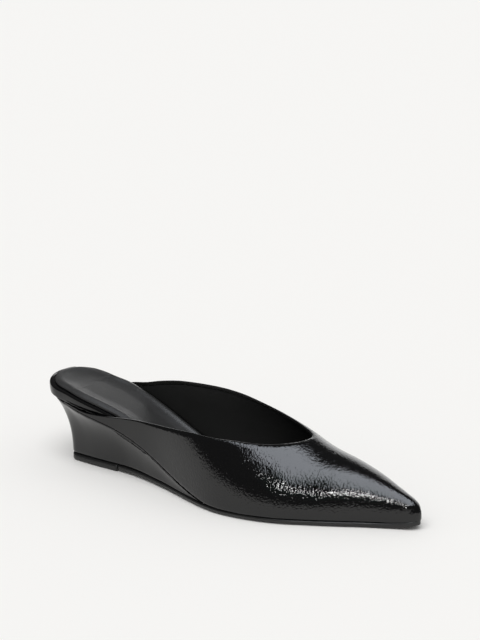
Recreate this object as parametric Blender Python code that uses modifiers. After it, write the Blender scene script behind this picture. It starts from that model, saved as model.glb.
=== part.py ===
"""Right pointed-toe mule on a low wedge heel, in metres, +Z up, the toe towards +X.

Six solids, as a maker would put them together: top piece, outsole, wedge, footbed, sock liner and upper.
The drawing frame has x = 0 at the back of the footbed, y = 0 on the heel's centre line and z = 0 on the
floor. The outside of the foot (the little toe) is at -Y. At the end the whole shoe moves so that its
origin is under the middle of its box.
"""

import math
from collections import namedtuple

import bmesh
import bpy
import numpy as np

# Plan sizes of the last
LENGTH = 0.2627
BALL_OUTSIDE = 0.0435
BALL_INSIDE = 0.0340
TOE_SWING = 0.0020
RIDGE_SWING = 0.0030
THROAT_AT = 0.1890

# Heights
WEDGE_HEIGHT = 0.0470
THROAT_HEIGHT = 0.0450
TOE_SPRING = 0.0030
SPRING_LENGTH = 0.0240
WAIST_LIFT = 0.0012

# Thicknesses
WALL = 0.0016
BOARD = 0.0065
SOCK = 0.0016
OUTSOLE = 0.0033
GAP = 0.0003

# Heel and rim
TREAD_BACK = 0.0173
TOP_PIECE_LENGTH = 0.0422
WEDGE_FRONT = 0.1410
SOLE_MEETS_UPPER = 0.0282
RIM_OVERHANG = 0.0012
FLARE_POWER = 2.4

# Rounded ends of the outlines
HEEL_ROUND = 0.0300
TREAD_ROUND = 0.0090
NOSE_ROUND = 0.0060

# Upper
TAIL_OUTSIDE = 0.0240
TAIL_INSIDE = 0.0340
SKIVE_LENGTH = 0.0260
SLOT = 0.0014
SLOT_AT = 0.0578
BELLY = 0.0022
SHOULDER_SHARE = 0.62
NOSE_SHARE = 0.55

# Sock liner
SOCK_INSET = 0.0032
SOCK_TO_TOE = 0.0177
SOCK_ROUND = 0.0200

OUTSIDE = -1
INSIDE = 1

# A row for each section of the last: at is a share of LENGTH, the widths are shares of the ball widths,
# ramp of the wedge height, board of the footbed's thickness, crest of the throat height, belly of BELLY,
# and spread is the share of the half width at which the section has turned over flat.
Section = namedtuple("Section", "at outside inside tread_out tread_in ramp board crest spread belly")
SECTIONS = (
    Section(0.00, 0.58, 0.70, 0.36, 0.44, 1.000, 1.00, 2.13, 0.98, 0.00),
    Section(0.08, 0.59, 0.72, 0.37, 0.45, 0.900, 0.97, 2.10, 0.98, 0.00),
    Section(0.12, 0.64, 0.74, 0.39, 0.47, 0.852, 0.94, 2.06, 0.98, 0.00),
    Section(0.16, 0.67, 0.82, 0.41, 0.49, 0.802, 0.88, 2.02, 0.98, 0.10),
    Section(0.20, 0.66, 0.80, 0.42, 0.49, 0.745, 0.80, 1.97, 0.98, 0.20),
    Section(0.25, 0.64, 0.74, 0.43, 0.49, 0.665, 0.70, 1.91, 0.98, 0.30),
    Section(0.30, 0.65, 0.69, 0.48, 0.51, 0.562, 0.62, 1.84, 0.98, 0.40),
    Section(0.35, 0.67, 0.66, 0.56, 0.54, 0.425, 0.60, 1.77, 0.98, 0.50),
    Section(0.40, 0.73, 0.66, 0.65, 0.58, 0.280, 0.58, 1.70, 0.96, 0.60),
    Section(0.45, 0.82, 0.69, 0.76, 0.64, 0.164, 0.52, 1.62, 0.90, 0.75),
    Section(0.50, 0.91, 0.75, 0.86, 0.70, 0.072, 0.47, 1.52, 0.82, 0.90),
    Section(0.54, 0.97, 0.81, 0.93, 0.77, 0.012, 0.45, 1.41, 0.74, 1.00),
    Section(0.58, 1.00, 0.87, 0.97, 0.84, 0.000, 0.45, 1.31, 0.64, 1.00),
    Section(0.64, 0.98, 0.96, 0.94, 0.93, 0.000, 0.45, 1.15, 0.52, 1.00),
    Section(0.67, 0.94, 0.99, 0.91, 0.96, 0.000, 0.45, 1.075, 0.45, 1.00),
    Section(0.70, 0.89, 1.00, 0.86, 0.97, 0.000, 0.45, 1.00, 0.40, 1.00),
    Section(0.72, 0.85, 0.98, 0.82, 0.95, 0.000, 0.45, 0.945, 0.38, 1.00),
    Section(0.74, 0.80, 0.95, 0.77, 0.92, 0.000, 0.45, 0.885, 0.38, 0.95),
    Section(0.76, 0.74, 0.92, 0.71, 0.89, 0.000, 0.45, 0.835, 0.40, 0.95),
    Section(0.82, 0.57, 0.77, 0.55, 0.74, 0.000, 0.45, 0.745, 0.50, 0.85),
    Section(0.88, 0.38, 0.58, 0.37, 0.55, 0.000, 0.45, 0.63, 0.58, 0.75),
    Section(0.94, 0.22, 0.36, 0.21, 0.33, 0.000, 0.45, 0.475, 0.62, 0.60),
    Section(1.00, 0.09, 0.14, 0.08, 0.12, 0.000, 0.45, 0.27, 0.62, 0.40),
)

# The collar: along is the way from the tail to the throat, and each side's value is the share of the
# section, from the feather edge to the crest, that the upper still covers there.
Collar = namedtuple("Collar", "along outside inside")
COLLAR = (
    Collar(0.00, 0.010, 0.015),
    Collar(0.20, 0.010, 0.098),
    Collar(0.30, 0.052, 0.202),
    Collar(0.40, 0.152, 0.340),
    Collar(0.50, 0.275, 0.468),
    Collar(0.60, 0.400, 0.560),
    Collar(0.70, 0.510, 0.638),
    Collar(0.80, 0.615, 0.715),
    Collar(0.90, 0.780, 0.840),
    Collar(1.00, 1.000, 1.000),
)

# How finely the pieces are divided
SIDE_ROWS = 30
TOE_ROWS = 14
COLUMNS = 9
RING_ROWS = 44
WEDGE_LEVELS = 6


def smooth(places, values):
    """A curve through the rows of a table that never overshoots them."""
    places = np.asarray(places)
    values = np.asarray(values)
    steps = np.diff(places)
    slopes = np.diff(values) / steps
    leans = np.concatenate(([slopes[0]], np.zeros(len(steps) - 1), [slopes[-1]]))
    for i in range(1, len(steps)):
        if slopes[i - 1] * slopes[i] > 0:
            before = 2 * steps[i] + steps[i - 1]
            after = steps[i] + 2 * steps[i - 1]
            leans[i] = (before + after) / (before / slopes[i - 1] + after / slopes[i])

    def curve(place):
        i = int(np.clip(np.searchsorted(places, place) - 1, 0, len(steps) - 1))
        t = (place - places[i]) / steps[i]
        rise = steps[i] * (leans[i] * t * (1 - t) ** 2 - leans[i + 1] * t * t * (1 - t))
        return float(values[i] + (values[i + 1] - values[i]) * t * t * (3 - 2 * t) + rise)

    return curve


def column(table, name):
    """The smooth curve of one column of a table, by the table's first column."""
    return smooth([row[0] for row in table], [getattr(row, name) for row in table])


SHARES = {name: column(SECTIONS, name) for name in Section._fields[1:]}
COVER = {OUTSIDE: column(COLLAR, "outside"), INSIDE: column(COLLAR, "inside")}


def share(name, x):
    return SHARES[name](x / LENGTH)


def ease(value):
    """0 below 0, 1 above 1, and a soft step between."""
    t = min(1.0, max(0.0, value))
    return t * t * (3 - 2 * t)


def rounding(distance, reach, power):
    """How far an edge has come out at a distance from its rounded end: 0 at the end, 1 past the reach."""
    left = min(1.0, max(0.0, 1.0 - distance / reach))
    return math.sqrt(1.0 - left ** power)


def axis(x):
    """The middle line of the sole, which swings to the inside at the toe."""
    return TOE_SWING * ease((x - THROAT_AT) / (LENGTH - THROAT_AT))


def spring(x):
    """How far the toe lifts off the floor."""
    return TOE_SPRING * max(0.0, (x - LENGTH) / SPRING_LENGTH + 1) ** 2


def outsole_bottom(x):
    """The waist's underside lies a little off the floor, and the forefoot flat on it."""
    start = TREAD_BACK + TOP_PIECE_LENGTH
    return WAIST_LIFT * (1 - ease((x - start) / (WEDGE_FRONT - start))) + spring(x)


def outsole_top(x):
    return outsole_bottom(x) + OUTSOLE


def ramp(x):
    """The underside of the footbed, where the upper's edge is lasted."""
    base = OUTSOLE + GAP
    return base + (WEDGE_HEIGHT - base) * share("ramp", x) + spring(x)


def board_top(x):
    return ramp(x) + BOARD * share("board", x)


def tail(side):
    return TAIL_OUTSIDE if side == OUTSIDE else TAIL_INSIDE


def skive(x, side):
    """The wall's share of its full thickness: the upper is pared thin towards its tails."""
    return ease((x - tail(side) + SKIVE_LENGTH / 4) / SKIVE_LENGTH)


def upper_half(x, side):
    """Half width of the feather line, which the wedge's top shares."""
    return BALL_OUTSIDE * share("outside", x) if side == OUTSIDE else BALL_INSIDE * share("inside", x)


def tread_half(x, side):
    """Half width of what stands on the floor."""
    if side == OUTSIDE:
        return BALL_OUTSIDE * share("tread_out", x)
    return BALL_INSIDE * share("tread_in", x)


def board_half(x, side):
    """The footbed stands proud of the wedge at the heel and fits inside the upper from its tails on."""
    inner = ease(2 * x / tail(side) - 1)
    slot = SLOT * (1 - ease(2 * abs(x / SLOT_AT - 1))) if side == OUTSIDE else 0.0
    overhang = RIM_OVERHANG * (1 - inner)
    return upper_half(x, side) + overhang - WALL * skive(x, side) - 2 * GAP * inner - slot


def spaced(count, round_back, round_front):
    """Shares from 0 to 1, closer together towards a rounded end."""
    for i in range(count + 1):
        t = i / count
        if round_back and round_front:
            yield (1 - math.cos(math.pi * t)) / 2
        elif round_front:
            yield math.sin(math.pi * t / 2)
        elif round_back:
            yield 1 - math.cos(math.pi * t / 2)
        else:
            yield t


def outline(half, start, end, inset=0.0, heel=None, nose=None, rows=RING_ROWS):
    """Pairs of plan points (x, y outside, y inside) from back to front, drawn in by an inset."""
    pairs = []
    back = start + inset if heel else start
    front = end - inset if nose else end
    for t in spaced(rows, heel is not None, nose is not None):
        x = back + (front - back) * t
        ends = rounding(x - back, heel, 3) if heel else 1.0
        ends *= rounding(front - x, nose, 2) if nose else 1.0
        sides = []
        for side in (OUTSIDE, INSIDE):
            sides.append(axis(x) + side * max(0.0, half(x, side) - inset) * ends)
        pairs.append((x, sides[0], sides[1]))
    return pairs


def at_height(pairs, height):
    """Plan points set at a height, which is a function of x."""
    return [((x, out, height(x)), (x, inn, height(x))) for x, out, inn in pairs]


def mix(low, high, amount):
    return tuple(a + (b - a) * amount for a, b in zip(low, high))


def stacked_solid(name, levels, material):
    """A closed solid between outlines that are stacked from the bottom up."""
    bm = bmesh.new()
    rings = []
    for pairs in levels:
        points = [out for out, _ in pairs] + [inn for _, inn in reversed(pairs)]
        rings.append([bm.verts.new(point) for point in points])
    for low, high in zip(rings, rings[1:]):
        for i in range(len(low)):
            j = (i + 1) % len(low)
            bm.faces.new((low[i], low[j], high[j], high[i]))
    for i in range(len(levels[0]) - 1):
        bottom = rings[0]
        top = rings[-1]
        bm.faces.new((bottom[i], bottom[-1 - i], bottom[-2 - i], bottom[i + 1]))
        bm.faces.new((top[i], top[i + 1], top[-2 - i], top[-1 - i]))
    bmesh.ops.remove_doubles(bm, verts=bm.verts, dist=1e-6)
    return finished(name, bm, material)


def finished(name, bm, material):
    """The mesh as a named object of the shoe's collection, shaded smooth but for its sharp edges."""
    mesh = bpy.data.meshes.new(name)
    bm.to_mesh(mesh)
    bm.free()
    mesh.shade_smooth()
    mesh.set_sharp_from_angle(angle=math.radians(35))
    mesh.materials.append(material)
    piece = bpy.data.objects.new(name, mesh)
    shoe.objects.link(piece)
    return piece


def plain_material(name, color, roughness, coat=0.0):
    material = bpy.data.materials.new(name)
    material.use_nodes = True
    shader = material.node_tree.nodes["Principled BSDF"]
    shader.inputs["Base Color"].default_value = (*color, 1.0)
    shader.inputs["Roughness"].default_value = roughness
    shader.inputs["Metallic"].default_value = 0.0
    shader.inputs["Coat Weight"].default_value = coat
    return material


def make_top_piece():
    """The heel's top piece: a D in plan, flat on the floor, straight across its front."""
    end = TREAD_BACK + TOP_PIECE_LENGTH - GAP
    pairs = outline(tread_half, TREAD_BACK, end, heel=TREAD_ROUND)
    levels = [at_height(pairs, lambda x: 0.0), at_height(pairs, lambda x: WAIST_LIFT + OUTSOLE)]
    return stacked_solid("top_piece", levels, plain_material("top_piece_rubber", (0.012, 0.012, 0.012), 0.6))


def sole_half(x, side):
    """The outsole's top edge, which joins the wedge's bottom at the waist and the upper in front."""
    forward = ease((x - WEDGE_FRONT) / SOLE_MEETS_UPPER + 1)
    return tread_half(x, side) + forward * (upper_half(x, side) - tread_half(x, side) - GAP)


def make_outsole():
    """One sheet from the top piece to the toe, its side drawn in towards the floor."""
    start = TREAD_BACK + TOP_PIECE_LENGTH
    end = LENGTH - 2 * GAP
    low = outline(tread_half, start, end, nose=NOSE_ROUND)
    high = outline(sole_half, start, end, nose=NOSE_ROUND)
    levels = [at_height(low, outsole_bottom), at_height(high, outsole_top)]
    return stacked_solid("outsole", levels, plain_material("outsole_rubber", (0.012, 0.012, 0.012), 0.55))


def make_wedge():
    """The covered wedge: its side and back flare out, hollow in profile, from the tread to the footbed."""
    low = at_height(outline(tread_half, TREAD_BACK, WEDGE_FRONT, heel=TREAD_ROUND),
                    lambda x: outsole_top(max(x, TREAD_BACK + TOP_PIECE_LENGTH)) + GAP)
    start = 2 * RIM_OVERHANG
    high = at_height(outline(upper_half, start, WEDGE_FRONT, heel=HEEL_ROUND), lambda x: ramp(x) - GAP)
    levels = []
    for i in range(WEDGE_LEVELS + 1):
        rise = i / WEDGE_LEVELS
        flare = rise ** FLARE_POWER
        level = []
        for below, above in zip(low, high):
            pair = []
            for lower, higher in zip(below, above):
                x, y, _ = mix(lower, higher, flare)
                pair.append((x, y, lower[2] + (higher[2] - lower[2]) * rise))
            level.append(tuple(pair))
        levels.append(level)
    return stacked_solid("wedge", levels, plain_material("wedge_patent", (0.010, 0.010, 0.011), 0.15, 1.0))


def make_footbed():
    """The insole board with its wrapped rim: rounded over at the top, drawn in a little below."""
    front = LENGTH - 2 * (WALL + GAP)
    layers = ((0.00, 0.35), (0.35, 0.10), (0.80, 0.00), (1.00, 0.30))
    levels = []
    for rise, draw in layers:
        pairs = outline(board_half, 0.0, front, inset=draw * RIM_OVERHANG, heel=HEEL_ROUND, nose=NOSE_ROUND)
        levels.append(at_height(pairs, lambda x, rise=rise: ramp(x) + (board_top(x) - ramp(x)) * rise))
    return stacked_solid("footbed", levels, plain_material("footbed_patent", (0.011, 0.011, 0.012), 0.2, 1.0))


def make_sock_liner():
    """The padded liner on the footbed, set in from the rim."""
    levels = []
    for rise, draw in ((0.0, 0.0), (0.6, 0.0), (1.0, 0.35)):
        inset = SOCK_INSET + draw * SOCK
        pairs = outline(board_half, 0.0, LENGTH - SOCK_TO_TOE, inset=inset, heel=HEEL_ROUND, nose=SOCK_ROUND)
        levels.append(at_height(pairs, lambda x, rise=rise: board_top(x) + GAP + SOCK * rise))
    return stacked_solid("sock_liner", levels, plain_material("sock_leather", (0.018, 0.018, 0.019), 0.45))


def upper_point(x, side, along):
    """A point of the upper's outer face: along runs from 0 at the feather edge to 1 at the crest."""
    nose = rounding(LENGTH - x, NOSE_ROUND, 2)
    middle = axis(x)
    ridge = side * RIDGE_SWING * (1 - ease((x - THROAT_AT) / (LENGTH - THROAT_AT)))
    half = upper_half(x, side) * nose
    low = ramp(x)
    high = low + (THROAT_HEIGHT * share("crest", x) + spring(x) - low) * (NOSE_SHARE + (1 - NOSE_SHARE) * nose)
    corners = (
        (half, low),
        (half + BELLY * share("belly", x) * nose, low + (high - low) * SHOULDER_SHARE),
        (ridge + (half - ridge) * share("spread", x), high),
        (ridge, high),
    )
    weights = ((1 - along) ** 3, 3 * along * (1 - along) ** 2, 3 * along ** 2 * (1 - along), along ** 3)
    out = sum(weight * corner[0] for weight, corner in zip(weights, corners))
    up = sum(weight * corner[1] for weight, corner in zip(weights, corners))
    return (x, middle + side * out, up)


def upper_rows(side):
    """(x, cover) for each row of one side, from its tail to the throat and on to the nose."""
    start = tail(side)
    rows = []
    for i in range(SIDE_ROWS):
        along = i / SIDE_ROWS
        x = start + (THROAT_AT - start) * (1 - math.cos(math.pi * along)) / 2
        rows.append((x, COVER[side](along)))
    for t in spaced(TOE_ROWS, False, True):
        rows.append((THROAT_AT + (LENGTH - THROAT_AT) * t, 1.0))
    return rows


def make_upper():
    """One hollow wall: a low strip each side of the foot, joined over the toes ahead of the throat."""
    bm = bmesh.new()
    for side in (OUTSIDE, INSIDE):
        rows = []
        for x, cover in upper_rows(side):
            row = [bm.verts.new(upper_point(x, side, cover * j / COLUMNS)) for j in range(COLUMNS + 1)]
            rows.append(row)
        for back, front in zip(rows, rows[1:]):
            for j in range(COLUMNS):
                corners = [back[j], front[j], front[j + 1], back[j + 1]]
                bm.faces.new(corners if side == OUTSIDE else reversed(corners))
    bmesh.ops.remove_doubles(bm, verts=bm.verts, dist=1e-6)
    thin = [skive(vert.co.x, OUTSIDE if vert.co.y < 0 else INSIDE) for vert in bm.verts]
    upper = finished("upper", bm, plain_material("upper_patent", (0.009, 0.009, 0.010), 0.12, 1.0))
    pared = upper.vertex_groups.new(name="pared")
    for index, weight in enumerate(thin):
        pared.add([index], weight, "REPLACE")
    wall = upper.modifiers.new("wall", "SOLIDIFY")
    wall.thickness = WALL
    wall.offset = -1
    wall.vertex_group = "pared"
    wall.use_even_offset = True
    return upper


def set_on_origin(pieces):
    """Hang the pieces on one empty, so that the origin is under the middle of the shoe's box."""
    bpy.context.view_layer.update()
    depsgraph = bpy.context.evaluated_depsgraph_get()
    corners = []
    for piece in pieces:
        solid = piece.evaluated_get(depsgraph)
        corners.extend(solid.matrix_world @ vert.co for vert in solid.data.vertices)
    lowest = np.min(corners, axis=0)
    highest = np.max(corners, axis=0)
    holder = bpy.data.objects.new("mule_right", None)
    shoe.objects.link(holder)
    holder.location = (-(lowest[0] + highest[0]) / 2, -(lowest[1] + highest[1]) / 2, -lowest[2])
    for piece in pieces:
        piece.parent = holder


for old in list(bpy.data.objects):
    bpy.data.objects.remove(old)
shoe = bpy.data.collections.new("pointed_toe_mule")
bpy.context.scene.collection.children.link(shoe)
set_on_origin([make_top_piece(), make_outsole(), make_wedge(), make_footbed(), make_sock_liner(), make_upper()])
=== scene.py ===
# %% [markdown]
# # A pointed-toe mule on a low wedge
#
# The shoe is a backless one for the right foot. It has a hollow upper of black crinkled patent leather, a
# footbed wrapped in the same leather with a thin padded sock on it, a covered wedge, a resin outsole and a
# rubber piece under the heel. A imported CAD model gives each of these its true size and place, and this lesson
# dresses them. The whole shoe could be modelled here instead, but then nothing would keep its pieces at their
# measured sizes.
#
# Lengths are in metres. The toe points along +X, the outside of the foot is at -Y, and the floor is z = 0.

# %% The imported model
import math

import bpy
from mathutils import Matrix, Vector
from mathutils.kdtree import KDTree


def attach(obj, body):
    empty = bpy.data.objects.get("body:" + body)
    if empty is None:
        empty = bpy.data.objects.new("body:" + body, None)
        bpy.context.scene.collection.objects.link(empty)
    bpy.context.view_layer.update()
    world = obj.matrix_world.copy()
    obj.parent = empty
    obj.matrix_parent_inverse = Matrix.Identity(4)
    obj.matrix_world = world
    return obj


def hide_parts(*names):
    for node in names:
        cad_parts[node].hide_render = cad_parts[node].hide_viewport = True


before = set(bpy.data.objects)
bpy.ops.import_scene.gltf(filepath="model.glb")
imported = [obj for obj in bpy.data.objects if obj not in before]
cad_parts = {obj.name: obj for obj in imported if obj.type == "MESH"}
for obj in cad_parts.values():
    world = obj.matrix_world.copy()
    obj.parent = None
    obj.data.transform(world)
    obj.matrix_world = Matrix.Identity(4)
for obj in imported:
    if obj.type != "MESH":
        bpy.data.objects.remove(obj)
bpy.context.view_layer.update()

# %% [markdown]
# ## The camera
#
# The photograph was taken with a long lens from the front of the outer side, a little above the shoe. A lens
# could be tried by eye, but a wrong one can't be put right by moving the camera, because it changes how fast
# the two edges of the sole run together. So the lens and the place were worked out beforehand, from the
# outlines of the heel, the sole and the toe, and are only set here.

# %% Camera
CAMERA_PLACE = (0.4552, -0.7031, 0.3320)
CAMERA_TURN = (75.0, -0.15, 32.27)
SENSOR = 36.0
LENS = 81.22
FARTHEST = 200.0

bpy.ops.object.select_all(action="DESELECT")
bpy.ops.object.camera_add(location=CAMERA_PLACE, rotation=[math.radians(turn) for turn in CAMERA_TURN])
camera = bpy.context.object
camera.name = "camera"
camera.data.sensor_width = SENSOR
camera.data.lens = LENS
camera.data.clip_end = FARTHEST
bpy.context.scene.camera = camera
print("the camera is", round(Vector(CAMERA_PLACE).length, 2), "m from the shoe, with a lens of", LENS, "mm")

# %% [markdown]
# ## The floor
#
# The shoe stands on a sheet of white paper that seems to have no end. In a studio the sheet is curved up
# behind the shoe. The camera looks down on it here, so a flat plane that reaches well past the picture shows
# the same and is simpler. It lies a hair under the sole, so that the two surfaces don't fight for the same
# place, and it is not attached to the shoe. Paper has no shine, so its specular level
# is zero.

# %% Floor
FLOOR_SIZE = 60.0
FLOOR_HEIGHT = -0.0002
PAPER_WHITE = (0.925, 0.918, 0.902)


def new_material(name):
    """A node material with its node tree and its shader."""
    material = bpy.data.materials.new(name)
    material.use_nodes = True
    return material, material.node_tree, material.node_tree.nodes["Principled BSDF"]


bpy.ops.mesh.primitive_plane_add(size=FLOOR_SIZE, location=(0, 0, FLOOR_HEIGHT))
floor = bpy.context.object
floor.name = "floor"

white_paper, _, shader = new_material("white_paper")
shader.inputs["Base Color"].default_value = (*PAPER_WHITE, 1)
shader.inputs["Roughness"].default_value = 1.0
shader.inputs["Specular IOR Level"].default_value = 0.0
floor.data.materials.append(white_paper)
print("the floor is", FLOOR_SIZE, "m wide")

# %% [markdown]
# ## The room
#
# Patent leather shows little colour of its own: what is seen on it is the room. In a studio the paper is
# bright all round the shoe, while the room behind the camera is dark. One even world can't be both. So this
# world asks which kind of ray has reached it: a reflection finds the dark room, and every other ray finds an
# even white that lights the paper. The standard view transform shows the white as the photograph does.

# %% Room
EVEN_WHITE = 0.5
DARK_ROOM = 0.08

world = bpy.data.worlds.new("studio")
bpy.context.scene.world = world
world.use_nodes = True
tree = world.node_tree
tree.nodes.clear()
which = tree.nodes.new("ShaderNodeMixShader")
path = tree.nodes.new("ShaderNodeLightPath")
tree.links.new(path.outputs["Is Glossy Ray"], which.inputs[0])
for socket, strength in ((which.inputs[1], EVEN_WHITE), (which.inputs[2], DARK_ROOM)):
    background = tree.nodes.new("ShaderNodeBackground")
    background.inputs["Color"].default_value = (1, 1, 1, 1)
    background.inputs["Strength"].default_value = strength
    tree.links.new(background.outputs[0], socket)
out = tree.nodes.new("ShaderNodeOutputWorld")
tree.links.new(which.outputs[0], out.inputs["Surface"])
bpy.context.scene.view_settings.view_transform = "Standard"
print("the room is", round(EVEN_WHITE / DARK_ROOM, 1), "times darker in reflections")

# %% [markdown]
# ## Soft boxes
#
# Three lamps draw the lights on the leather. A strip in front of the toe makes the bright streak along its
# ridge. A long pale wall behind the shoe gives the sides their soft grey. A large bluish box overhead, set
# askew, lights the top of the toe and stops short of the throat, where the photograph goes dark. Each was
# placed by following a ray from the camera off the leather. They could light the floor as well, but then the
# streak couldn't be made brighter without burning out the paper, so they are seen in the gloss alone.

# %% Soft boxes
SHOE = Vector((0, 0, 0.02))
TOP_BOX_PLACE = (0.55, -0.28, 1.02)
TOP_BOX_TURN = math.radians(-45)
DAYLIGHT_TINT = (0.87, 0.92, 1.0)


def softbox(name, azimuth, elevation, distance, size, brightness, color=(1, 1, 1)):
    """A lamp seen only in the gloss, turned to the shoe. Azimuth 0 is in front at -Y and 90 at the toe."""
    turn = math.radians(azimuth)
    lift = math.radians(elevation)
    way = Vector((math.sin(turn) * math.cos(lift), -math.cos(turn) * math.cos(lift), math.sin(lift)))
    bpy.ops.object.light_add(type="AREA", location=SHOE + distance * way)
    lamp = bpy.context.object
    lamp.name = name
    lamp.rotation_euler = way.to_track_quat("Z", "Y").to_euler()
    lamp.data.shape = "RECTANGLE"
    lamp.data.size, lamp.data.size_y = size
    lamp.data.energy = brightness * math.pi * size[0] * size[1]
    lamp.data.color = color
    lamp.visible_diffuse = False
    lamp.visible_camera = False
    return lamp


softbox("softbox_strip", azimuth=36, elevation=32, distance=1.5, size=(0.36, 0.07), brightness=60.0)
softbox("softbox_back", azimuth=180, elevation=16, distance=2.0, size=(4.0, 1.2), brightness=1.4)
top_box = softbox("softbox_top", azimuth=0, elevation=90, distance=1.0, size=(1.30, 0.72),
                  brightness=5.2, color=DAYLIGHT_TINT)
top_box.location = TOP_BOX_PLACE
top_box.rotation_euler = (0, 0, TOP_BOX_TURN)

# %% [markdown]
# ## The key light
#
# The shadow under the shoe is soft and a little darker at its back than in front. A world alone gives a
# shadow that is the same on every side. So half of the paper's light comes from a very wide sun, high up and
# in front. It stays out of the gloss, because the soft boxes are what the leather shows.

# %% Key light
KEY_SHARE = 0.5
KEY_TILT = math.radians(25)
KEY_TURN = math.radians(10)
KEY_WIDTH = math.radians(50)

bpy.ops.object.light_add(type="SUN", rotation=(KEY_TILT, 0, KEY_TURN))
key_light = bpy.context.object
key_light.name = "key_light"
key_light.data.energy = KEY_SHARE * math.pi / math.cos(KEY_TILT)
key_light.data.angle = KEY_WIDTH
key_light.visible_glossy = False
print("key light:", round(key_light.data.energy, 2))

# %% [markdown]
# ## Copies of the solids
#
# A CAD solid comes as loose triangles, good for its size but hard-edged and too coarse for gloss. Each piece
# could be modelled afresh on top of it, yet its outline is already right. So the piece starts as a copy of
# its solid: the loose points are merged into one skin, and pairs of triangles are joined to quads, which a
# subdivision surface rounds far more evenly. The copy then stands for the solid, which is hidden.

# %% Copying a solid
MERGED = 0.00002
QUAD_FOLD = math.radians(60)
QUAD_SKEW = math.radians(70)


def only(piece):
    """Select one object and no other."""
    bpy.ops.object.select_all(action="DESELECT")
    piece.select_set(True)
    bpy.context.view_layer.objects.active = piece


def copy_of(node, name):
    """A merged copy of a CAD solid that stands for it."""
    piece = bpy.data.objects.new(name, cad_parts[node].data.copy())
    piece.data.name = name
    piece.data.materials.clear()
    bpy.context.collection.objects.link(piece)
    only(piece)
    bpy.ops.object.mode_set(mode="EDIT")
    bpy.ops.mesh.select_all(action="SELECT")
    bpy.ops.mesh.remove_doubles(threshold=MERGED)
    bpy.ops.mesh.tris_convert_to_quads(face_threshold=QUAD_FOLD, shape_threshold=QUAD_SKEW)
    bpy.ops.object.mode_set(mode="OBJECT")
    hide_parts(node)
    return piece


print("solids to dress:", sorted(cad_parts))

# %% [markdown]
# ## Creases and rounding
#
# Leather turned over an edge is round but tight, while a cut sole is almost sharp. Both come from one
# subdivision surface: its creases hold an edge back, a low value for turned leather and a high one for a cut
# edge. A bevel could do it too, but it needs clean loops beside each edge, which a meshed solid lacks.

# %% Creases and rounding
LEVELS = 2
TURNED_BEND, TURNED = 50, 0.25
WRAPPED_BEND, WRAPPED = 50, 0.6
CUT_BEND, CRISP = 40, 0.8


def crease(piece, angle, value):
    """Crease the edges that are sharper than an angle in degrees."""
    only(piece)
    bpy.ops.object.mode_set(mode="EDIT")
    bpy.ops.mesh.select_mode(type="EDGE")
    bpy.ops.mesh.select_all(action="DESELECT")
    bpy.ops.mesh.edges_select_sharp(sharpness=math.radians(angle))
    bpy.ops.transform.edge_crease(value=value)
    bpy.ops.mesh.select_all(action="DESELECT")
    bpy.ops.object.mode_set(mode="OBJECT")


def rounded(piece):
    """Round a piece with an applied subdivision surface."""
    only(piece)
    bpy.ops.object.modifier_add(type="SUBSURF")
    rounding = piece.modifiers[-1]
    rounding.levels = rounding.render_levels = LEVELS
    bpy.ops.object.modifier_apply(modifier=rounding.name)
    bpy.ops.object.shade_smooth()


def finish_piece(piece, slot, *materials):
    """Give a piece its materials and attach it to the root body; the slot is not used."""
    for material in materials:
        piece.data.materials.append(material)
    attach(piece, "root")
    print(piece.name, "has", len(piece.data.polygons), "faces")


print("each quad becomes", 4 ** LEVELS, "faces")

# %% [markdown]
# ## Helpers for the materials
#
# A material is a tree of nodes, and adding one takes the same few lines each time: the node, its settings
# and its values. Two short helpers hold those lines, so that the cells below read as a list of what each
# finish is made of.

# %% Node helpers
def add_node(tree, kind, **settings):
    """A node with its settings; those that name an input set its value."""
    node = tree.nodes.new(kind)
    for name, value in settings.items():
        if hasattr(node, name):
            setattr(node, name, value)
        else:
            node.inputs[name.replace("_", " ")].default_value = value
    return node


def math_node(tree, operation, first, second):
    """One sum; each value is a socket or a number."""
    node = tree.nodes.new("ShaderNodeMath")
    node.operation = operation
    for socket, value in zip(node.inputs, (first, second)):
        if isinstance(value, (int, float)):
            socket.default_value = value
        else:
            tree.links.new(value, socket)
    return node.outputs[0]


print("helpers:", add_node.__name__, math_node.__name__)

# %% [markdown]
# ## The crinkle
#
# Crinkled patent is pressed and tumbled until its skin breaks into small cushions with fine folds between
# them. The cushions are about a millimetre long and somewhat wider across the shoe. Modelling them
# would take millions of faces, so they are a height for a bump: smooth Voronoi cells are the cushions, and
# the places where a noise crosses its middle value are the folds. A slow noise first bends the space that
# both are drawn in, or the cells would look like a honeycomb. Two materials use the crinkle at two depths,
# so it is a node group.

# %% Crinkle
WANDER_SCALE = 160.0
WANDER_BY = 0.004
CUSHION_STRETCH = (1.0, 0.75, 0.75)
CUSHION_ROUNDNESS = 0.25
FOLD_SCALE = 0.8
FOLD_WEIGHT = 2.5
NOISE_DETAIL = 2.0
NOISE_ROUGHNESS = 0.55
NOISE_MIDDLE = 0.5

crinkle = bpy.data.node_groups.new("crinkle", "ShaderNodeTree")
crinkle.interface.new_socket("Vector", in_out="INPUT", socket_type="NodeSocketVector")
crinkle.interface.new_socket("Scale", in_out="INPUT", socket_type="NodeSocketFloat")
crinkle.interface.new_socket("Height", in_out="OUTPUT", socket_type="NodeSocketFloat")
given = add_node(crinkle, "NodeGroupInput")

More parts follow.
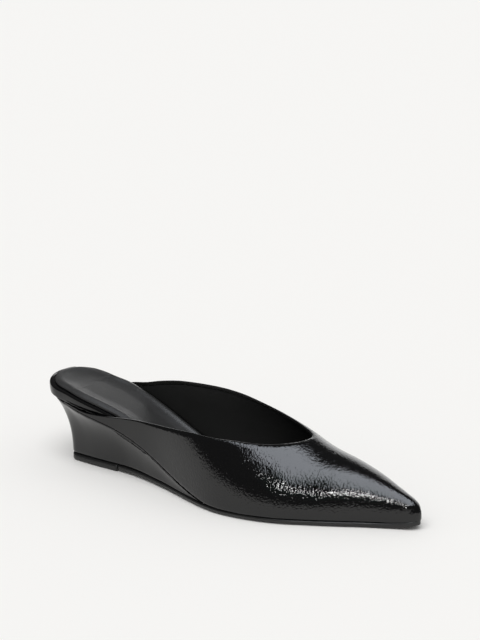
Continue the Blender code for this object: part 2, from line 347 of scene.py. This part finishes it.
wander = add_node(crinkle, "ShaderNodeTexNoise", Scale=WANDER_SCALE, Detail=NOISE_DETAIL)
crinkle.links.new(given.outputs["Vector"], wander.inputs["Vector"])
bent = add_node(crinkle, "ShaderNodeVectorMath", operation="MULTIPLY_ADD")
bent.inputs[1].default_value = (WANDER_BY, WANDER_BY, WANDER_BY)
crinkle.links.new(wander.outputs["Color"], bent.inputs[0])
crinkle.links.new(given.outputs["Vector"], bent.inputs[2])
stretched = add_node(crinkle, "ShaderNodeVectorMath", operation="MULTIPLY")
stretched.inputs[1].default_value = CUSHION_STRETCH
crinkle.links.new(bent.outputs[0], stretched.inputs[0])

cushions = add_node(crinkle, "ShaderNodeTexVoronoi", feature="SMOOTH_F1", Smoothness=CUSHION_ROUNDNESS)
crinkle.links.new(stretched.outputs[0], cushions.inputs["Vector"])
crinkle.links.new(given.outputs["Scale"], cushions.inputs["Scale"])
folds = add_node(crinkle, "ShaderNodeTexNoise", Detail=NOISE_DETAIL, Roughness=NOISE_ROUGHNESS)
crinkle.links.new(stretched.outputs[0], folds.inputs["Vector"])
crinkle.links.new(math_node(crinkle, "MULTIPLY", given.outputs["Scale"], FOLD_SCALE), folds.inputs["Scale"])

fold = math_node(crinkle, "SUBTRACT", folds.outputs["Fac"], NOISE_MIDDLE)
fold = math_node(crinkle, "ABSOLUTE", fold, 0)
height = math_node(crinkle, "SUBTRACT", 1.0, cushions.outputs["Distance"])
height = math_node(crinkle, "SUBTRACT", height, math_node(crinkle, "MULTIPLY", fold, FOLD_WEIGHT))
result = add_node(crinkle, "NodeGroupOutput")
crinkle.links.new(height, result.inputs["Height"])
print("the crinkle has", len(crinkle.nodes), "nodes")

# %% [markdown]
# ## Patent leather
#
# Patent is leather under a clear lacquer: almost black, with a sharp gloss. On this shoe the crinkle is
# strong over the toe and dies away to a smooth skin at the waist, where the leather was pulled tight over the
# last. A painted mask could say where, but the change follows the length of the shoe, so the x coordinate
# does it. The wedge is covered with the smooth kind, where only a trace of the crinkle is left.

# %% Patent leather
CRINKLE_SIZE = 0.0012
CRINKLE_DEPTH = 0.000085
TRACE_DEPTH = 0.00002
CRINKLE_STARTS = -0.050
CRINKLE_FULL = 0.005
LEAST_CRINKLE = 0.1
LACQUER_BLACK = (0.003, 0.003, 0.0032)
LACQUER_ROUGHNESS = 0.08


def patent_leather(name, depth):
    """Black patent, with a crinkle that grows from the waist to the ball of the foot."""
    material, tree, shader = new_material(name)
    shader.inputs["Base Color"].default_value = (*LACQUER_BLACK, 1)
    shader.inputs["Roughness"].default_value = LACQUER_ROUGHNESS
    place = add_node(tree, "ShaderNodeTexCoord")
    grain = add_node(tree, "ShaderNodeGroup", node_tree=crinkle)
    grain.inputs["Scale"].default_value = 1 / CRINKLE_SIZE
    tree.links.new(place.outputs["Object"], grain.inputs["Vector"])
    along = add_node(tree, "ShaderNodeSeparateXYZ")
    tree.links.new(place.outputs["Object"], along.inputs[0])
    grows = add_node(tree, "ShaderNodeMapRange", interpolation_type="SMOOTHSTEP", From_Min=CRINKLE_STARTS,
                     From_Max=CRINKLE_FULL, To_Min=LEAST_CRINKLE, To_Max=1.0)
    tree.links.new(along.outputs["X"], grows.inputs["Value"])
    bump = add_node(tree, "ShaderNodeBump", Distance=depth)
    grown = math_node(tree, "MULTIPLY", grain.outputs["Height"], grows.outputs[0])
    tree.links.new(grown, bump.inputs["Height"])
    tree.links.new(bump.outputs["Normal"], shader.inputs["Normal"])
    return material


crinkled_patent = patent_leather("crinkled_patent", CRINKLE_DEPTH)
smooth_patent = patent_leather("smooth_patent", TRACE_DEPTH)
print("patent leathers:", crinkled_patent.name, "and", smooth_patent.name)

# %% [markdown]
# ## Pores and handling
#
# The sock, the lining and the rubber are matte, but none is even. Each has fine pores, and each is a little
# glossier and darker in broad patches where it was rubbed or handled. A scanned texture would show this too,
# but it would need a picture file and a flat layout for every piece. Two textures in a node group do it in
# space, and every matte material sets its own pore size.

# %% Pores and handling
PORE_ROUNDNESS = 0.4
PATCH_SCALE = 45.0
PATCH_DETAIL = 4.0
PATCH_ROUGHNESS = 0.6

handled = bpy.data.node_groups.new("pores_and_handling", "ShaderNodeTree")
handled.interface.new_socket("Vector", in_out="INPUT", socket_type="NodeSocketVector")
handled.interface.new_socket("Pore Scale", in_out="INPUT", socket_type="NodeSocketFloat")
handled.interface.new_socket("Pores", in_out="OUTPUT", socket_type="NodeSocketFloat")
handled.interface.new_socket("Patches", in_out="OUTPUT", socket_type="NodeSocketFloat")
given = add_node(handled, "NodeGroupInput")
result = add_node(handled, "NodeGroupOutput")
pores = add_node(handled, "ShaderNodeTexVoronoi", feature="SMOOTH_F1", Smoothness=PORE_ROUNDNESS)
patches = add_node(handled, "ShaderNodeTexNoise", Scale=PATCH_SCALE, Detail=PATCH_DETAIL,
                   Roughness=PATCH_ROUGHNESS)
for texture in (pores, patches):
    handled.links.new(given.outputs["Vector"], texture.inputs["Vector"])
handled.links.new(given.outputs["Pore Scale"], pores.inputs["Scale"])
handled.links.new(pores.outputs["Distance"], result.inputs["Pores"])
handled.links.new(patches.outputs["Fac"], result.inputs["Patches"])
print("the patches are about", round(1000 / PATCH_SCALE), "mm across")

# %% [markdown]
# ## Matte leathers and rubber
#
# One recipe makes the three matte materials from their tone, gloss and pores. The sock is a soft nappa,
# paler than the rest. The sole and the heel's piece are black resin and rubber with a satin face. The lining
# is the darkest and the least glossy.

# %% Matte materials
SOCK_GREY = (0.028, 0.028, 0.028)
RUBBER_BLACK = (0.010, 0.010, 0.010)
LINING_BLACK = (0.010, 0.010, 0.009)
LINING_ROUGHNESS = 0.60
RUBBED_PATCH, MATTE_PATCH = 0.3, 0.7
GLOSS_CHANGE = 0.07
TONE_CHANGE = 0.2


def matte(name, color, roughness, pore_size, pore_depth):
    """A dark matte material with pores and handled patches."""
    material, tree, shader = new_material(name)
    place = add_node(tree, "ShaderNodeTexCoord")
    wear = add_node(tree, "ShaderNodeGroup", node_tree=handled)
    wear.inputs["Pore Scale"].default_value = 1 / pore_size
    tree.links.new(place.outputs["Object"], wear.inputs["Vector"])
    gloss = add_node(tree, "ShaderNodeMapRange", name="gloss", From_Min=RUBBED_PATCH, From_Max=MATTE_PATCH,
                     To_Min=roughness - GLOSS_CHANGE, To_Max=roughness + GLOSS_CHANGE)
    tree.links.new(wear.outputs["Patches"], gloss.inputs["Value"])
    tree.links.new(gloss.outputs[0], shader.inputs["Roughness"])
    tone = add_node(tree, "ShaderNodeMixRGB")
    tone.inputs["Color1"].default_value = (*[(1 - TONE_CHANGE) * part for part in color], 1)
    tone.inputs["Color2"].default_value = (*[(1 + TONE_CHANGE) * part for part in color], 1)
    tree.links.new(wear.outputs["Patches"], tone.inputs["Fac"])
    tree.links.new(tone.outputs["Color"], shader.inputs["Base Color"])
    bump = add_node(tree, "ShaderNodeBump", name="pore_bump", Distance=pore_depth)
    tree.links.new(wear.outputs["Pores"], bump.inputs["Height"])
    tree.links.new(bump.outputs["Normal"], shader.inputs["Normal"])
    return material


sock_nappa = matte("sock_leather", SOCK_GREY, roughness=0.42, pore_size=0.0006, pore_depth=0.00004)
sole_rubber = matte("sole_rubber", RUBBER_BLACK, roughness=0.42, pore_size=0.0009, pore_depth=0.00003)
lining = matte("lining", LINING_BLACK, LINING_ROUGHNESS, pore_size=0.0005, pore_depth=0.00004)
print("matte materials:", sock_nappa.name, sole_rubber.name, lining.name)

# %% [markdown]
# ## The folded edge of the lining
#
# At the collar the patent is folded over into the shoe and glued down on the lining. Seen from above it
# is a narrow glossy strip with a small step below it. The strip follows the collar all the way, so it reads
# the distance to the collar, which the upper will carry as an attribute. It could be a piece of its own, but
# so thin a strip would need the wall's whole shape once more. The fold's smoothness takes over from the
# lining's gloss, and the step is a second bump on top of the pores.

# %% Folded edge
FOLD_WIDTH = 0.0024
FOLD_BLUR = 0.0003
FOLD_STEP = 0.0005
FOLD_ROUGHNESS = 0.10

tree = lining.node_tree
shader = tree.nodes["Principled BSDF"]
from_edge = add_node(tree, "ShaderNodeAttribute", attribute_name="from_collar")
below_fold = add_node(tree, "ShaderNodeMapRange", interpolation_type="SMOOTHSTEP",
                      From_Min=FOLD_WIDTH - FOLD_BLUR, From_Max=FOLD_WIDTH + FOLD_BLUR)
tree.links.new(from_edge.outputs["Fac"], below_fold.inputs["Value"])
fold_gloss = add_node(tree, "ShaderNodeMapRange", To_Min=FOLD_ROUGHNESS, To_Max=LINING_ROUGHNESS)
tree.links.new(below_fold.outputs[0], fold_gloss.inputs["Value"])
least = math_node(tree, "MINIMUM", fold_gloss.outputs[0], tree.nodes["gloss"].outputs[0])
tree.links.new(least, shader.inputs["Roughness"])
step = add_node(tree, "ShaderNodeBump", Distance=FOLD_STEP)
tree.links.new(math_node(tree, "SUBTRACT", 1.0, below_fold.outputs[0]), step.inputs["Height"])
tree.links.new(tree.nodes["pore_bump"].outputs["Normal"], step.inputs["Normal"])
tree.links.new(step.outputs["Normal"], shader.inputs["Normal"])
print("the fold is", 1000 * FOLD_WIDTH, "mm wide")

# %% [markdown]
# ## The upper
#
# The upper is one hollow wall, pulled over the last and open at the collar. A low crease keeps its turned
# edge round. Two things are then read from its faces. Those that look into the hollow are the lining. Those
# between inside and outside that don't look down are the collar's edge, and each point of the wall stores
# its distance to them. The distance could be painted by hand, but a search tree finds it for every point
# and stays right when the shoe's size changes.

# %% Upper
MIDDLE = 0.0048
DIP = 0.012
FACES_IN = 0.45
LOOKS_DOWN = -0.2


def inwards_at(spot):
    """The way from a spot on the wall to the hollow, a little downwards."""
    return Vector((0, MIDDLE - spot.y, -DIP)).normalized()


def facing_in(polygon):
    """How squarely a face looks into the shoe: 1 on the lining, -1 outside and about 0 on the edges."""
    return polygon.normal.dot(inwards_at(polygon.center))


def search_tree(spots):
    """A tree that finds the nearest of some spots."""
    tree = KDTree(len(spots))
    for index, spot in enumerate(spots):
        tree.insert(spot, index)
    tree.balance()
    return tree


upper = copy_of("upper", "upper_patent")
crease(upper, TURNED_BEND, TURNED)
rounded(upper)
collar = [polygon.center.copy() for polygon in upper.data.polygons
          if abs(facing_in(polygon)) < FACES_IN and polygon.normal.z > LOOKS_DOWN]
nearest = search_tree(collar)
from_collar = [nearest.find(vert.co)[2] for vert in upper.data.vertices]
attribute = upper.data.attributes.new("from_collar", "FLOAT", "POINT")
attribute.data.foreach_set("value", from_collar)
print("the collar's edge has", len(collar), "faces")

# %% [markdown]
# ## The rolled collar
#
# On the real shoe the last few millimetres of the wall lean in towards the foot, and the rounded edge
# catches the light from above as a thin bright line. The roll starts at the tails, where the wall is pared
# thin and stays upright, and is full at the ball. A proportional edit would do it by hand. Here each point
# near the collar is moved inwards by a share that fades with its distance from the edge.

# %% Rolled collar
ROLL_WIDTH = 0.0032
ROLL_BY = 0.0012
ROLL_STARTS = -0.075
ROLL_GROWS_OVER = 0.05


def share(value):
    """A value held between 0 and 1."""
    return min(1.0, max(0.0, value))


for vert, distance in zip(upper.data.vertices, from_collar):
    if distance < ROLL_WIDTH:
        grown = share((vert.co.x - ROLL_STARTS) / ROLL_GROWS_OVER)
        vert.co += inwards_at(vert.co) * (ROLL_BY * grown * (1 - distance / ROLL_WIDTH) ** 2)
finish_piece(upper, "upper_patent", crinkled_patent, lining)
for polygon in upper.data.polygons:
    polygon.material_index = 1 if facing_in(polygon) > FACES_IN else 0

# %% [markdown]
# ## The wedge
#
# The wedge is a moulded core under a smooth patent cover, hollow in profile at its back and sides. The cover
# is glued down tight, so its edges are crisper than the upper's, and a high crease keeps them so.

# %% Wedge
wedge = copy_of("wedge", "wedge_cover")
crease(wedge, CUT_BEND, CRISP)
rounded(wedge)
finish_piece(wedge, "wedge_patent", smooth_patent)

# %% [markdown]
# ## The footbed
#
# The insole board is wrapped in the upper's patent round its rim. The wrap is turned over the board's edge,
# which makes a softer corner than the wedge has.

# %% Footbed
footbed = copy_of("footbed", "footbed_wrap")
crease(footbed, WRAPPED_BEND, WRAPPED)
rounded(footbed)
finish_piece(footbed, "rim_patent", crinkled_patent)

# %% [markdown]
# ## The sock, cut across
#
# The sock is a thin leather pad glued to the footbed. Its solid has long edges that run right across it and
# no points between them, so nothing could be pressed into it. A remesh would make points, but it would
# loosen the outline. Instead only the edges that run across the foot are picked, by their direction, and
# cut into short lengths.

# %% Sock, cut across
ACROSS = 0.004
LEAN = 0.002
CUTS = 13

pad = copy_of("sock_liner", "sock_pad")
only(pad)
bpy.ops.object.mode_set(mode="EDIT")
bpy.ops.mesh.select_mode(type="EDGE")
bpy.ops.mesh.select_all(action="DESELECT")
bpy.ops.object.mode_set(mode="OBJECT")
for edge in pad.data.edges:
    a, b = (pad.data.vertices[index].co for index in edge.vertices)
    edge.select = abs(a.y - b.y) > ACROSS and abs(a.x - b.x) < LEAN
bpy.ops.object.mode_set(mode="EDIT")
bpy.ops.mesh.subdivide(number_cuts=CUTS)
bpy.ops.object.mode_set(mode="OBJECT")
crease(pad, WRAPPED_BEND, WRAPPED)
rounded(pad)
print("the sock has", len(pad.data.polygons), "faces")

# %% [markdown]
# ## The sock's padding
#
# Thin foam under the leather makes a soft shoulder just inside the edge, and the foot's place is pressed a
# little below it. A cloth simulation under pressure could give such a form too, but the pad is thin and its
# form is simple. So each point of the top is raised or lowered by how far it lies from the edge. At the
# inner waist the pad is cut a little narrower, and the wrapped rim shows beside it. The points are listed
# before any is moved, since reading a normal after a move works all the normals out again.

# %% Sock padding
SHOULDER_AT = 0.0034
SHOULDER_WIDTH = 0.0020
SHOULDER_HEIGHT = 0.0012
DISH_STARTS = 0.004
DISH_SLOPE = 0.010
DISH_DEPTH = 0.0010
WAIST_AT = -0.020
WAIST_LENGTH = 0.035
HALF_WIDTH = 0.025
WAIST_CUT = 0.0028
STEEP, UPWARD = 0.5, 0.3

edge_spots = [polygon.center.copy() for polygon in pad.data.polygons if abs(polygon.normal.z) < STEEP]
for spot in edge_spots:
    spot.z = 0
nearest = search_tree(edge_spots)
for vert in [vert for vert in pad.data.vertices if vert.normal.z > UPWARD]:
    reach = nearest.find(Vector((vert.co.x, vert.co.y, 0)))[2]
    shoulder = math.exp(-((reach - SHOULDER_AT) / SHOULDER_WIDTH) ** 2)
    dish = share((reach - DISH_STARTS) / DISH_SLOPE)
    vert.co.z += SHOULDER_HEIGHT * shoulder - DISH_DEPTH * dish * dish * (3 - 2 * dish)
for vert in pad.data.vertices:
    waist = math.exp(-((vert.co.x - WAIST_AT) / WAIST_LENGTH) ** 2)
    inner = max(0.0, (vert.co.y - MIDDLE) / HALF_WIDTH)
    vert.co.y -= WAIST_CUT * waist * inner ** 2
finish_piece(pad, "sock_leather", sock_nappa)

# %% [markdown]
# ## The outsole and the heel's piece
#
# The outsole is one sheet of black resin, and a rubber piece is nailed under the heel where the shoe wears
# first. Both are cut, not turned, so they keep the sharpest edges on the shoe. They are two pieces because
# a cobbler changes one without the other.

# %% Outsole and heel piece
CUT_PIECES = (
    ("outsole", "outsole_sheet", "sole_rubber"),
    ("top_piece", "heel_top_piece", "heel_rubber"),
)

for node, name, slot in CUT_PIECES:
    sheet = copy_of(node, name)
    crease(sheet, CUT_BEND, CRISP)
    rounded(sheet)
    finish_piece(sheet, slot, sole_rubber)
